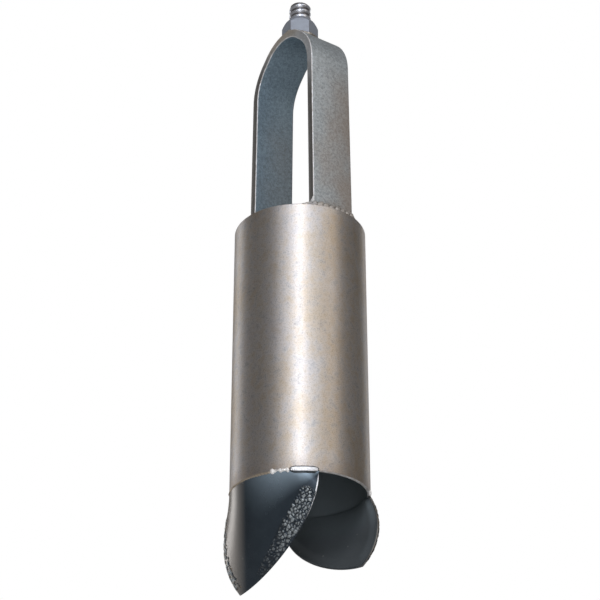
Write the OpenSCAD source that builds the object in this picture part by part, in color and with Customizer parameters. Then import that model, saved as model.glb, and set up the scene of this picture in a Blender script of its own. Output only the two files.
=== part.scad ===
// Soil auger head: a thin steel bucket tube with two curved cutting bits welded below it and a
// flat-bar bail welded inside its top, which carries a hexagon with a threaded stud for the drive rod.
// The origin is on the axis, where the stud leaves its conical shoulder. The bail lies in the XZ plane.

/* [Bucket tube] */
// Outside diameter of the bucket tube
tube_od = 88.9; // [70:0.1:110]
// Wall of the bucket tube
tube_wall = 2.1; // [1.5:0.1:4]
// Length of the bucket tube
tube_len = 188; // [120:1:260]

/* [Bail] */
// Width of the bail's flat bar
bail_w = 31.8; // [22:0.1:40]
// Thickness of the bail's flat bar
bail_t = 6; // [4:0.5:8]
// Height of the bail's top above the tube
bail_rise = 164.2; // [120:0.1:220]
// Radius of the shoulder bends, at the middle of the bar
shoulder_r = 35.6; // [15:0.1:40]
// Radius of the crown bend, at the middle of the bar
crown_r = 27.6; // [20:0.1:30]
// Slope of the bar between the shoulder and crown bends, in degrees
arch_slope = 43; // [35:1:50]
// How far each leg leans inwards between the tube and its shoulder
leg_lean = 1.7; // [0:0.1:4]
// How far the legs reach down inside the tube
leg_lap = 38; // [20:1:60]
// Gap between the corners of a leg and the inside of the tube
leg_fit = 0.15; // [0.05:0.05:0.5]

/* [Hexagon and stud] */
// Distance across the flats of the hexagon
hex_af = 22.9; // [19:0.1:27]
// Height of the hexagon, from the bail's top to its corners' upper ends
hex_h = 11.6; // [8:0.1:20]
// Turn of the hexagon about the axis, in degrees
hex_turn = -5; // [-30:1:30]
// Height of the conical shoulder
cone_h = 7; // [4:0.5:12]
// Diameter of the threaded stud
stud_d = 15.9; // [12:0.1:18]
// Length of the threaded stud
stud_len = 13; // [10:0.5:30]
// Length of the plain neck between the cone and the thread
neck_len = 2; // [1:0.1:4]
// Chamfer at the stud's end
stud_chamfer = 1.2; // [0.5:0.1:2]
// Pitch of the thread
thread_pitch = 4.7; // [4:0.1:6]
// Depth of the thread
thread_depth = 1.3; // [0.8:0.1:1.6]
// How much lower the crest of the thread is than the neck
thread_ease = 0.2; // [0.1:0.05:0.4]
// Share of the pitch that the crest of the thread takes
crest_share = 0.3; // [0.25:0.05:0.4]

/* [Cutting bits] */
// How far the bits' points reach below the tube
bit_drop = 55.5; // [40:0.5:75]
// Distance between the two bits' lower edges, where the soil enters
mouth_w = 29.8; // [20:0.1:40]
// Thickness of the bits' plate
bit_t = 4; // [2.5:0.5:5]
// Thickness of the bits' ground edges
edge_t = 1.6; // [1:0.1:2.5]
// Width of the ground edges
edge_w = 7; // [3:0.5:12]
// Angle about the axis where a bit's leading side leaves the tube, in degrees
lead_angle = -124.5; // [-135:0.5:-110]
// How full the plate bulges between the tube and its lower edge
bulge = 1.6; // [1.2:0.1:2.2]
// How locally the plate flares at its leading edge
flare = 1.4; // [1:0.1:2]

/* [Welds and hard facing] */
// Size of the fillet round the hexagon
stud_bead = 2.2; // [1:0.1:3]
// Size of the beads on the tube's rims
rim_bead = 1.8; // [1:0.1:3]
// Width of the hard facing on the bits' lower edges
lower_facing_w = 9.5; // [5:0.5:14]
// Width of the hard facing on the bits' leading edges
lead_facing_w = 2.8; // [2:0.1:6]
// Thickness of the hard facing
facing_t = 1.1; // [0.6:0.1:2]

/* [Hidden] */
$fn = 96;

tube_r = tube_od / 2;
bore_r = tube_r - tube_wall;
hex_r = hex_af / 2 / cos(30);
stud_r = stud_d / 2;
crest_r = stud_r - thread_ease;
root_r = stud_r - thread_depth;

// Heights along the axis, from the stud's shoulder at zero down to the tube
crown_z = -cone_h - hex_h;
tube_top = crown_z - bail_rise;
tube_bottom = tube_top - tube_len;

// The bail's bar: where its legs stand, and where its bends begin
half_t = bail_t / 2;
seat_x = sqrt(pow(bore_r - leg_fit, 2) - pow(bail_w / 2, 2)) - half_t;
shoulder_x = seat_x - leg_lean;
arch_straight = (shoulder_x - shoulder_r * (1 - sin(arch_slope)) - crown_r * sin(arch_slope))
    / cos(arch_slope);
arch_h = shoulder_r * cos(arch_slope) + arch_straight * sin(arch_slope)
    + crown_r * (1 - cos(arch_slope));
shoulder_z = crown_z - half_t - arch_h;
lean_angle = atan(leg_lean / (shoulder_z - tube_top));
bend_step = 3;
crown_outer_r = crown_r + half_t;
crown_sag = crown_outer_r - sqrt(pow(crown_outer_r, 2) - pow(hex_r, 2));

// The bits' edges, as cubic curves in shares of the tube's radius and of the drop
half_mouth = mouth_w / 2;
trail_angle = -asin(half_mouth / tube_r);
tip = [-1.006 * tube_r, -half_mouth, -bit_drop];
trail_top = [tube_r * cos(trail_angle), -half_mouth, 0];
trail_low = trail_top - [0.3, 0, 0.05 * bit_drop];
lower_curve = [
    tip,
    [-0.236 * tube_r, -half_mouth, -0.948 * bit_drop],
    [0.917 * tube_r, -half_mouth, -0.522 * bit_drop],
    trail_low
];
lead_top = tube_r * [cos(lead_angle), sin(lead_angle), 0];
lead_curve = [
    lead_top,
    [-0.916 * tube_r, -0.602 * tube_r, -0.171 * bit_drop],
    [-1.218 * tube_r, -0.687 * tube_r, -0.595 * bit_drop],
    tip
];
rows_u = 28;
rows_v = 20;
slope_step = 0.004;
eps = 0.01;

// ---- Curves and surfaces ----

function cubic(c, t) = pow(1 - t, 3) * c[0] + 3 * pow(1 - t, 2) * t * c[1]
    + 3 * (1 - t) * t * t * c[2] + pow(t, 3) * c[3];

// A point at the tube's rim, from the leading side (0) to the trailing side (1)
function rim_angle(u) = lead_angle + u * (trail_angle - lead_angle);
function rim_point(u) = tube_r * [cos(rim_angle(u)), sin(rim_angle(u)), 0];

// The plate between the rim and the lower edge: upright where it leaves the rim, then curving in
function web(u, v) =
    let (a = rim_point(u), b = cubic(lower_curve, u), s = pow(v, bulge))
    [a.x + (b.x - a.x) * s, a.y + (b.y - a.y) * s, b.z * v];

// The plate's outer face: its web, drawn out to the leading edge
function plate(u, v) = web(u, v) + pow(1 - u, flare) * (cubic(lead_curve, v) - web(0, v));

// The direction into the plate at a point of its outer face
function inward(u, v) =
    let (
        u0 = min(u, 1 - slope_step),
        v0 = min(v, 1 - slope_step),
        n = cross(plate(u0 + slope_step, v0) - plate(u0, v0), plate(u0, v0 + slope_step) - plate(u0, v0))
    )
    n / norm(n);

// How far a point is from the plate's ground edges, and how thick the plate is there
function edge_distance(u, v) = min(
    norm(plate(u, v) - cubic(lower_curve, u)),
    norm(plate(u, v) - cubic(lead_curve, v)));
function thickness(u, v) = edge_t + (bit_t - edge_t) * min(1, edge_distance(u, v) / edge_w);

// The plate's inner face, flat where it butts against the tube's rim
function plate_inside(u, v) =
    let (p = plate(u, v) + thickness(u, v) * inward(u, v))
    v == 0
        ? (tube_r - thickness(u, 0)) * [cos(rim_angle(u)), sin(rim_angle(u)), 0]
        : [p.x, p.y, min(p.z, -eps)];

// ---- Solids made from grids of points ----

// A closed shell between two grids of points, each a list of rows of equal length. The first grid is the
// outer face, with its rows running left to right and its columns downwards as seen from outside.
module shell(outer, inner) {
    m = len(outer) - 1;
    n = len(outer[0]) - 1;
    half = (m + 1) * (n + 1);
    points = concat([for (row = outer) each row], [for (row = inner) each row]);
    function at(i, j, side = 0) = side * half + i * (n + 1) + j;
    function quad(a, b, c, d) = [[a, b, c], [a, c, d]];
    faces = [
        for (i = [0 : m - 1], j = [0 : n - 1])
            each quad(at(i, j), at(i + 1, j), at(i + 1, j + 1), at(i, j + 1)),
        for (i = [0 : m - 1], j = [0 : n - 1])
            each quad(at(i, j + 1, 1), at(i + 1, j + 1, 1), at(i + 1, j, 1), at(i, j, 1)),
        for (i = [0 : m - 1])
            each quad(at(i + 1, 0), at(i, 0), at(i, 0, 1), at(i + 1, 0, 1)),
        for (i = [0 : m - 1])
            each quad(at(i, n), at(i + 1, n), at(i + 1, n, 1), at(i, n, 1)),
        for (j = [0 : n - 1])
            each quad(at(0, j), at(0, j + 1), at(0, j + 1, 1), at(0, j, 1)),
        for (j = [0 : n - 1])
            each quad(at(m, j + 1), at(m, j), at(m, j, 1), at(m, j + 1, 1))
    ];
    polyhedron(points = points, faces = faces, convexity = 6);
}

// The space between the turns of a right-hand thread, which runs out at its lower end
module thread_groove(from_z, to_z) {
    step = 15;
    mouth = thread_pitch * (1 - crest_share) / 2;
    root = mouth * 0.35;
    over = 0.4;
    mouth_over = mouth + (mouth - root) * over / thread_depth;
    turns = (to_z - from_z) / thread_pitch;
    count = ceil(turns * 360 / step);
    run_out = 360 / step / 2;
    function lift(k) = (thread_depth + over) * max(0, 1 - k / run_out);
    function ring(k) =
        let (
            a = k * step,
            z = from_z + thread_pitch * a / 360,
            low_r = root_r + lift(k),
            high_r = stud_r + over + eps + lift(k)
        )
        [for (p = [[high_r, -mouth_over], [low_r, -root], [low_r, root], [high_r, mouth_over]])
            [p[0] * cos(a), p[0] * sin(a), z + p[1]]];
    points = [for (k = [0 : count]) each ring(k)];
    faces = concat(
        [[0, 1, 2], [0, 2, 3]],
        [for (k = [0 : count - 1], j = [0 : 3])
            let (a = 4 * k + j, b = 4 * k + (j + 1) % 4)
            each [[a, a + 4, b + 4], [a, b + 4, b]]],
        [[4 * count + 3, 4 * count + 2, 4 * count + 1], [4 * count + 3, 4 * count + 1, 4 * count]]);
    polyhedron(points = points, faces = faces, convexity = 8);
}

// ---- Sub-parts ----

module bucket_tube() {
    color("rosybrown")
        translate([0, 0, tube_bottom])
            difference() {
                cylinder(r = tube_r, h = tube_len);
                translate([0, 0, -1])
                    cylinder(r = bore_r, h = tube_len + 2);
            }
}

// One side of the bail's bar, a given distance out from the bar's middle
function bail_side(d) =
    let (cx = shoulder_x - shoulder_r, cz = crown_z - half_t - crown_r)
    concat(
        [[seat_x + d, tube_top - leg_lap], [seat_x + d, tube_top]],
        [for (a = [lean_angle : bend_step : 90 - arch_slope - bend_step / 2])
            [cx + (shoulder_r + d) * cos(a), shoulder_z + (shoulder_r + d) * sin(a)]],
        [[cx + (shoulder_r + d) * sin(arch_slope), shoulder_z + (shoulder_r + d) * cos(arch_slope)]],
        [for (a = [90 - arch_slope : bend_step : 90 - bend_step / 2])
            [(crown_r + d) * cos(a), cz + (crown_r + d) * sin(a)]],
        [[0, cz + crown_r + d]]);

function mirrored(points) = [for (i = [len(points) - 2 : -1 : 0]) [-points[i].x, points[i].y]];
function reversed(points) = [for (i = [len(points) - 1 : -1 : 0]) points[i]];

module bail() {
    outer = bail_side(half_t);
    inner = bail_side(-half_t);
    outline = concat(outer, mirrored(outer), reversed(mirrored(inner)), reversed(inner));
    color("slategray")
        rotate([90, 0, 0])
            linear_extrude(bail_w, center = true)
                polygon(outline);
}

// The outer face of the bail's crown, as a cylinder across the bar
module crown_seat() {
    translate([0, 0, crown_z - crown_outer_r])
        rotate([90, 0, 0])
            cylinder(r = crown_outer_r, h = bail_w + 20, center = true);
}

// The hexagon with its corners cut by the conical shoulder
module hex_body() {
    spread = 2;
    low_z = crown_z - crown_sag - 1;
    cone_drop = cone_h * spread / (hex_r - stud_r);
    intersection() {
        translate([0, 0, low_z])
            rotate([0, 0, hex_turn])
                cylinder(r = hex_r, h = -low_z, $fn = 6);
        rotate_extrude()
            polygon([
                [0, low_z - 1],
                [hex_r + spread, low_z - 1],
                [hex_r + spread, -cone_h - cone_drop],
                [stud_r, 0],
                [0, 0]
            ]);
    }
}

module hex_stud() {
    color("lightsteelblue")
        difference() {
            union() {
                hex_body();
                translate([0, 0, -1])
                    cylinder(r = stud_r, h = neck_len + 1);
                cylinder(r = crest_r, h = stud_len - stud_chamfer);
                translate([0, 0, stud_len - stud_chamfer])
                    cylinder(r1 = crest_r, r2 = crest_r - stud_chamfer, h = stud_chamfer);
            }
            crown_seat();
            rotate([0, 0, -135])
                thread_groove(neck_len + 0.2, stud_len + thread_pitch * 0.8);
        }
}

// Fillet of weld round the foot of the hexagon, on the bail's crown
module stud_weld() {
    low_z = crown_z - crown_sag - stud_bead;
    bead_h = crown_sag + 2 * stud_bead;
    color("gray")
        difference() {
            translate([0, 0, low_z])
                cylinder(r1 = hex_r + stud_bead + crown_sag / 2, r2 = hex_af / 2, h = bead_h);
            translate([0, 0, low_z - 1])
                rotate([0, 0, hex_turn])
                    cylinder(r = hex_r, h = bead_h + 2, $fn = 6);
            crown_seat();
        }
}

// Weld that fills the space between a leg's outer face and the inside of the tube
module bail_weld() {
    depth = 5;
    leg_face = seat_x + half_t;
    color("dimgray")
        translate([0, 0, tube_top - depth])
            difference() {
                union() {
                    cylinder(r = bore_r, h = depth, $fn = 240);
                    translate([0, 0, depth])
                        cylinder(r1 = bore_r, r2 = bore_r - rim_bead, h = rim_bead, $fn = 240);
                }
                translate([leg_face - 2 * tube_od, -tube_od, -1])
                    cube([2 * tube_od, 2 * tube_od, depth + rim_bead + 2]);
            }
}

module bail_weld_right() {
    bail_weld();
}

module bail_weld_left() {
    rotate([0, 0, 180])
        bail_weld();
}

module cutting_bit() {
    outer = [for (i = [0 : rows_u]) [for (j = [0 : rows_v]) plate(i / rows_u, j / rows_v)]];
    inner = [for (i = [0 : rows_u]) [for (j = [0 : rows_v]) plate_inside(i / rows_u, j / rows_v)]];
    color("darkslategray")
        translate([0, 0, tube_bottom])
            shell(outer, inner);
}

module cutting_bit_front() {
    cutting_bit();
}

module cutting_bit_rear() {
    rotate([0, 0, 180])
        cutting_bit();
}

// Bead on the outside of the seam between the tube's rim and a bit
module bit_weld() {
    foot = rim_bead / 2;
    flat = foot * 0.6;
    proud = foot * 0.7;
    color("darkgoldenrod")
        translate([0, 0, tube_bottom])
            rotate([0, 0, lead_angle])
                rotate_extrude(angle = trail_angle - lead_angle)
                    polygon([
                        [tube_r, -foot],
                        [tube_r + proud, -flat],
                        [tube_r + proud, flat],
                        [tube_r, foot]
                    ]);
}

module bit_weld_front() {
    bit_weld();
}

module bit_weld_rear() {
    rotate([0, 0, 180])
        bit_weld();
}

// A strip laid on a bit's outer face, between two curves given as (u, v) points row by row
module facing(rows) {
    under = [for (row = rows) [for (q = row) plate(q[0], q[1])]];
    top = [for (i = [0 : len(rows) - 1])
        [for (j = [0 : len(rows[i]) - 1])
            let (q = rows[i][j], rim = i == 0 || i == len(rows) - 1 || j == 0)
            plate(q[0], q[1]) - facing_t * (rim ? 0.25 : 1) * inward(q[0], q[1])]];
    color("darkgray")
        translate([0, 0, tube_bottom])
            shell(top, under);
}

// Hard facing along the lower edge: widest near the trailing side, with a round end there
module lower_facing() {
    start = 0.22;
    end = 0.86;
    steps = 30;
    across = 4;
    rows = [for (i = [0 : steps])
        let (
            s = i / steps,
            u = start + s * (end - start),
            reach = norm(cubic(lower_curve, u) - rim_point(u)),
            w = lower_facing_w * min(1, 0.3 + 1.4 * s) * sqrt(max(0.04, 1 - pow(max(0, s - 0.85) / 0.15, 2)))
        )
        [for (j = [0 : across]) [u, 1 - (1 - j / across) * w / reach]]];
    facing(rows);
}

// Narrow hard facing along the leading edge
module lead_facing() {
    start = 0.3;
    end = 0.93;
    steps = 20;
    across = 2;
    reach = norm(plate(0.1, 0.5) - plate(0, 0.5)) / 0.1;
    rows = [for (i = [0 : across])
        [for (j = [0 : steps])
            let (s = j / steps)
            [i / across * lead_facing_w / reach, start + s * (end - start)]]];
    facing(rows);
}

module lower_facing_front() {
    lower_facing();
}

module lower_facing_rear() {
    rotate([0, 0, 180])
        lower_facing();
}

module lead_facing_front() {
    lead_facing();
}

module lead_facing_rear() {
    rotate([0, 0, 180])
        lead_facing();
}

bucket_tube();
bail();
hex_stud();
stud_weld();
bail_weld_right();
bail_weld_left();
cutting_bit_front();
cutting_bit_rear();
bit_weld_front();
bit_weld_rear();
lower_facing_front();
lower_facing_rear();
lead_facing_front();
lead_facing_rear();
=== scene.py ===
"""Looks of a soil auger head: a bucket tube with two curved bits, a flat-bar bail and a threaded stud."""

from math import asin, cos, pi, radians, sin, sqrt

import bmesh
import bpy
from bmesh.types import BMEdge, BMVert
from bpy.props import FloatProperty, FloatVectorProperty, PointerProperty
from mathutils import Matrix, Vector, noise


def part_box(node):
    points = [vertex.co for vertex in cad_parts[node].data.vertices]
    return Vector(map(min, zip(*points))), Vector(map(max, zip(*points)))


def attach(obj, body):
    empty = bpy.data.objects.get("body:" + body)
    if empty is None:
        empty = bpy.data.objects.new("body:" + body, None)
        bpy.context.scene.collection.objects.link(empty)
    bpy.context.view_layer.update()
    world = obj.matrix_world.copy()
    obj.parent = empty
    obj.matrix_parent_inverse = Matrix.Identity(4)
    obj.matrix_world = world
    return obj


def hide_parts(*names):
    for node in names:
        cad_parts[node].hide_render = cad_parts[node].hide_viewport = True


bl_info = {
    "name": "Soil auger head",
    "version": (1, 0, 0),
    "blender": (4, 5, 0),
    "location": "View3D > Sidebar > Auger",
    "description": "Builds the welded steel head of a soil auger round its construction model",
    "category": "Add Mesh",
}

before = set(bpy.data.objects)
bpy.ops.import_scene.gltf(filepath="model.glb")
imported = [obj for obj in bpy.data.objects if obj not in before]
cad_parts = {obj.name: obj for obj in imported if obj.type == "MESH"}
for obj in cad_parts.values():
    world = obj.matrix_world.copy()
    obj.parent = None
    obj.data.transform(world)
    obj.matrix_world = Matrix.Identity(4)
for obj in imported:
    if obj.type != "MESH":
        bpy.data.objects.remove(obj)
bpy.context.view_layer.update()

MM = 0.001
BODY = "root"
TUBE_LOW, TUBE_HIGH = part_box("bucket_tube")
BAIL_LOW, BAIL_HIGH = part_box("bail")
STUD_LOW, STUD_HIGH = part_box("hex_stud")
BIT_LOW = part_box("cutting_bit_front")[0]
TUBE_R = TUBE_HIGH.x
TUBE_TOP = TUBE_HIGH.z
TUBE_BOTTOM = TUBE_LOW.z
CROWN_Z = BAIL_HIGH.z
BIT_DROP = TUBE_BOTTOM - BIT_LOW.z
FULL_TURN = 2 * pi
UP = Vector((0, 0, 1))
WHITE = (1.0, 1.0, 1.0)
SIDES = (("front", False), ("rear", True))


# ---- Sizes and colours a user may change ----

def length(name, description, millimetres):
    """A length property, given here in millimetres."""
    return FloatProperty(name=name, description=description, default=millimetres * MM, unit="LENGTH",
                         precision=5)


def angle(name, description, degrees):
    """An angle property."""
    return FloatProperty(name=name, description=description, default=radians(degrees), subtype="ANGLE")


def colour(name, description, default):
    """A linear colour property."""
    return FloatVectorProperty(
        name=name, description=description, default=default, subtype="COLOR", size=3, min=0.0, max=1.0)


class AugerSizes(bpy.types.PropertyGroup):
    """Sizes of the auger's pieces."""

    tube_wall: length("Tube wall", "Thickness of the bucket tube's wall", 2.1)
    rim_round: length("Rim rounding", "Rounding of the tube's two rims", 0.35)
    bar_t: length("Bar thickness", "Thickness of the bail's flat bar", 6)
    bar_round: length("Bar rounding", "Rounding of the flat bar's long edges", 0.9)
    leg_fit: length("Leg fit", "Gap between a leg's corners and the tube", 0.15)
    leg_lean: length("Leg lean", "How far a leg leans in up to its shoulder", 1.7)
    shoulder_r: length("Shoulder radius", "Bend at the shoulder, middle of the bar", 35.6)
    crown_r: length("Crown radius", "Bend at the crown, middle of the bar", 27.6)
    arch_slope: angle("Arch slope", "Slope of the bar between its bends", 43)
    hex_af: length("Hexagon", "Distance across the flats of the hexagon", 22.9)
    hex_turn: angle("Hexagon turn", "Turn of the hexagon about the axis", -5)
    cone_h: length("Cone", "Height of the conical shoulder", 7)
    stud_r: length("Stud radius", "Radius of the stud over its thread", 7.95)
    thread_pitch: length("Thread pitch", "Pitch of the stud's thread", 4.7)
    thread_depth: length("Thread depth", "Depth of the stud's thread", 1.3)
    mouth_w: length("Mouth", "Distance between the two bits' lower edges", 29.8)
    bit_t: length("Bit thickness", "Thickness of the bits' plate", 4)
    edge_t: length("Bit edge", "Thickness of the bits' ground edges", 1.6)
    edge_w: length("Ground width", "Width of the bits' ground edges", 7)
    lead_angle: angle("Leading side", "Where a bit's leading side leaves the tube", -124.5)
    facing_w: length("Facing width", "Width of the hard facing on the lower edges", 9.5)
    facing_t: length("Facing height", "Height of the hard facing's lumps", 1.0)
    lead_facing_w: length("Leading facing", "Width of the hard facing on the leading edges", 7.5)
    rim_bead: length("Rim bead", "Size of the weld beads on the tube's rims", 1.2)
    stud_bead: length("Stud bead", "Size of the weld bead round the hexagon", 2.3)


class AugerColours(bpy.types.PropertyGroup):
    """Colours of the auger's finishes."""

    tube_warm: colour("Tube, warm", "Warm patches of the ground tube", (0.50, 0.43, 0.355))
    tube_cool: colour("Tube, cool", "Cool patches of the ground tube", (0.57, 0.57, 0.60))
    # Dirt in the tube's pits; also painted shade down the bar's narrow edges, and darker colour in the
    # thread's grooves
    dirt_and_shade: colour("Dirt", "Dirt in pits, grooves and shaded edges", (0.10, 0.09, 0.082))
    inside_dark: colour("Inside", "Scale inside the tube and the bits", (0.13, 0.16, 0.18))
    inside_light: colour("Inside, worn", "Lighter scale inside the tube and the bits", (0.18, 0.21, 0.235))
    scale_outer: colour("Bail outside", "Rolled scale on the bail's outer face", (0.36, 0.395, 0.425))
    scale_inner: colour("Bail inside", "Rolled scale on the bail's inner face", (0.20, 0.27, 0.33))
    bar_edge: colour("Bar edges", "Narrow edges of the flat bar", (0.33, 0.34, 0.35))
    bar_edge_light: colour("Bar edges, worn", "Worn streaks on the bar's narrow edges", (0.52, 0.54, 0.57))
    # Painted highlight: the cut rims are coloured bright so that they read as a lit edge
    rim: colour("Tube rims", "Cut rims of the tube", (0.50, 0.48, 0.46))
    rust: colour("Brown stain", "Thin brown stain on bare steel", (0.30, 0.205, 0.135))
    zinc: colour("Zinc", "Zinc plate on the thread", (0.72, 0.75, 0.84))
    zinc_hex: colour("Zinc, hexagon", "Duller zinc plate on the hexagon", (0.30, 0.33, 0.39))
    zinc_dull: colour("Dull zinc", "Dull patches of the zinc plate", (0.24, 0.25, 0.29))
    bit_dark: colour("Bit", "Hardened plate of the bits", (0.022, 0.034, 0.049))
    # Painted highlight: a pale band that stands for light reflected along the bits' leading sides
    bit_painted_highlight: colour("Bit, worn", "Bare steel beside the bits' leading edges", (0.44, 0.415, 0.395))
    # Painted sheen: a blue-grey patch that stands for the key light's reflection beside the ground welds
    bit_painted_sheen: colour("Bit, bloom", "Blue-grey bloom beside the ground welds", (0.32, 0.415, 0.51))
    bit_light: colour("Bit, lighter", "Lighter patches of the bits' plate", (0.048, 0.067, 0.086))
    weld_grey: colour("Weld", "Grey weld metal", (0.30, 0.29, 0.28))
    weld_light: colour("Weld, light", "Crests of the beads on the bail's legs", (0.46, 0.45, 0.45))
    weld_gold: colour("Heat tint", "Straw and brown heat tint on weld metal", (0.52, 0.40, 0.26))
    # Painted glint: near-white colour for the spatter drops and the flares at the legs' edges
    weld_painted_glint: colour("Bright weld", "Bright drops of weld metal", (0.85, 0.85, 0.86))
    facing_bright: colour("Facing crests", "Bright crests of the hard facing", (0.36, 0.40, 0.43))
    # Near black: painted shade low inside the bits; also the dark between weld ripples and round the ground
    # pads
    dark_and_painted_shade: colour("Facing hollows", "Dark hollows of the hard facing", (0.025, 0.03, 0.035))
    ground: colour("Ground metal", "Freshly ground steel", (0.78, 0.79, 0.82))
    floor: colour("Floor", "Plain pale floor", (0.88, 0.88, 0.87))


class AugerStage(bpy.types.PropertyGroup):
    """Camera and floor."""

    camera_turn: angle("Camera turn", "Turn of the camera about the auger's axis", 55.5)
    camera_pitch: angle("Camera pitch", "How far the camera looks up", 27.89)
    camera_out: length("Camera distance", "Distance of the camera from the axis", 953.95)
    camera_below: length("Camera drop", "How far the camera is below the tube", 365.3)
    lens: FloatProperty(name="Lens", description="Focal length in millimetres", default=96.88)
    floor_below: length("Floor drop", "How far the floor is below the tube", 1200)


def sizes():
    """The sizes in use."""
    return bpy.context.scene.auger_sizes


def colours():
    """The colours in use."""
    return bpy.context.scene.auger_colours


def clamp(value):
    """A number kept between 0 and 1."""
    return min(1.0, max(0.0, value))


def radial(turn):
    """The unit vector that points out from the axis at an angle."""
    return Vector((cos(turn), sin(turn), 0))


# ---- Shader building ----

class Wire:
    """A node's output, on which sums are written as Python expressions."""

    def __init__(self, nodes, socket):
        self.nodes = nodes
        self.socket = socket

    def math(self, operation, first, second):
        return self.nodes.node("ShaderNodeMath", {"operation": operation}, {0: first, 1: second})

    def __add__(self, other):
        return self.math("ADD", self, other)

    def __sub__(self, other):
        return self.math("SUBTRACT", self, other)

    def __rsub__(self, other):
        return self.math("SUBTRACT", other, self)

    def __mul__(self, other):
        return self.math("MULTIPLY", self, other)

    __radd__ = __add__
    __rmul__ = __mul__

    def between(self, low, high):
        """0 below low, 1 above high, and a smooth step between them. low may be the higher number."""
        inputs = {"Value": self, "From Min": low, "From Max": high}
        return self.nodes.node("ShaderNodeMapRange", {"interpolation_type": "SMOOTHSTEP"}, inputs)


class Nodes:
    """A node tree in the making. Every node comes from node()."""

    def __init__(self, tree):
        self.tree = tree

    def node(self, kind, settings=None, inputs=None, output=0):
        """Adds a node, sets and feeds it, and returns one of its outputs."""
        made = self.tree.nodes.new(kind)
        for key, value in (settings or {}).items():
            setattr(made, key, value)
        for key, value in (inputs or {}).items():
            self.plug(made.inputs[key], value)
        return Wire(self, made.outputs[output])

    def plug(self, socket, value):
        """Feeds a socket from another node's output, or sets it to a number or a colour."""
        if isinstance(value, Wire):
            self.tree.links.new(value.socket, socket)
        elif hasattr(value, "__len__") and len(socket.default_value) == 4:
            socket.default_value = (*value[:3], 1.0)
        else:
            socket.default_value = value

    def mix(self, factor, first, second):
        """A colour between two colours."""
        return self.node("ShaderNodeMix", {"data_type": "RGBA"}, {0: factor, 6: first, 7: second}, 2)

    def by_sight(self, lit, seen):
        """One colour to the rays that light the auger, and another to the camera."""
        return self.mix(self.node("ShaderNodeLightPath", output="Is Camera Ray"), lit, seen)


class Finish(Nodes):
    """A material in the making."""

    def __init__(self, name, metallic=0.6):
        self.material = bpy.data.materials.new(name)
        self.material.use_nodes = True
        super().__init__(self.material.node_tree)
        self.shader = self.tree.nodes["Principled BSDF"]
        self.plug(self.shader.inputs["Metallic"], metallic)
        self.object_place = self.node("ShaderNodeTexCoord", output="Object")

    def noise(self, scale, detail=3.0, rough=0.6, stretch=(1, 1, 1), shift=(0, 0, 0)):
        """Cloudy noise from 0 to 1, stretched and shifted in the auger's own space."""
        place = self.node(
            "ShaderNodeMapping", {}, {"Vector": self.object_place, "Scale": stretch, "Location": shift})
        inputs = {"Vector": place, "Scale": scale, "Detail": detail, "Roughness": rough}
        return self.node("ShaderNodeTexNoise", {}, inputs)

    def cells(self, scale):
        """Distance to the nearest of many scattered points."""
        inputs = {"Vector": self.object_place, "Scale": scale}
        return self.node("ShaderNodeTexVoronoi", {}, inputs, "Distance")

    def specks(self):
        """A few small round specks, 1 inside them and 0 elsewhere."""
        return self.cells(70.0).between(0.05, 0.035)

    def axis(self, name):
        """One coordinate in the auger's own space."""
        return self.node("ShaderNodeSeparateXYZ", {}, {0: self.object_place}, name)

    def attribute(self, name):
        """A number kept on the mesh's points."""
        return self.node("ShaderNodeAttribute", {"attribute_name": name}, {}, "Fac")

    def finished(self, base, roughness, height=None, distance=0.0, strength=0.0):
        """Joins colour, roughness and relief to the shader, and returns the material."""
        self.plug(self.shader.inputs["Base Color"], base)
        self.plug(self.shader.inputs["Roughness"], roughness)
        if height is not None:
            inputs = {"Height": height, "Distance": distance, "Strength": strength}
            self.plug(self.shader.inputs["Normal"], self.node("ShaderNodeBump", {}, inputs))
        return self.material


def tube_finish():
    """Steel ground round the tube: fine lines, warm and cool patches, darker by the welds."""
    c = colours()
    f = Finish("ground_tube_steel", metallic=1.0)
    lines = f.noise(1.0, 5.0, 0.7, stretch=(14, 14, 1500))
    broad = f.noise(1.0, 3.0, 0.5, stretch=(10, 10, 160))
    patches = f.noise(26.0, 5.0, 0.65, stretch=(1, 1, 0.6))
    mottle = f.noise(210.0, 4.0, 0.65)
    grain = f.noise(1400.0, 2.0, 0.6)
    heat = f.axis("Z").between(TUBE_BOTTOM + 12 * MM, TUBE_BOTTOM + 1 * MM) * 0.4
    steel = f.mix((patches * 0.6 + mottle * 0.4).between(0.35, 0.65), c.tube_warm, c.tube_cool)
    base = f.mix(patches.between(0.5, 0.75) * 0.3 + heat * 0.6, steel, c.rust)
    base = f.mix(grain.between(0.45, 0.7) * 0.3 + mottle.between(0.5, 0.72) * 0.26, base, c.dirt_and_shade)
    roughness = 0.30 + lines * 0.10 + grain * 0.06 + mottle * 0.06 + heat * 0.1
    height = lines * 0.5 + broad * 0.5 + grain * 0.4 + mottle * 0.6
    return f.finished(base, roughness, height, 0.05 * MM, 0.5)


def inside_finish(name):
    """Dull scale inside the tube and the bits, with painted shade lower down, and a few pale specks."""
    c = colours()
    f = Finish(name, metallic=0.1)
    cloud = f.noise(45.0, 5.0, 0.65)
    grain = f.noise(900.0)
    deep = f.axis("Z").between(TUBE_BOTTOM - 4 * MM, TUBE_BOTTOM - 34 * MM)
    base = f.mix(cloud.between(0.35, 0.75) * 0.5 + grain * 0.3, c.inside_dark, c.inside_light)
    # Painted shade: the scale darkens towards the bits' lower edges
    base = f.mix(deep * 0.72, base, c.dark_and_painted_shade)
    base = f.mix(f.specks() * 0.6, base, c.weld_grey)
    return f.finished(base, 0.68 + cloud * 0.2, cloud + grain * 0.4, 0.1 * MM, 0.5)


def bare_finish(name):
    """Bare steel on the tube's cut rims and the bail's worn corners, painted bright as a highlight."""
    c = colours()
    f = Finish(name, metallic=0.35)
    rub = f.noise(350.0, 4.0, 0.6)
    base = f.mix(rub.between(0.3, 0.7), c.rim, c.ground)
    return f.finished(base, 0.34 + rub * 0.2, rub, 0.05 * MM, 0.5)


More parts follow.
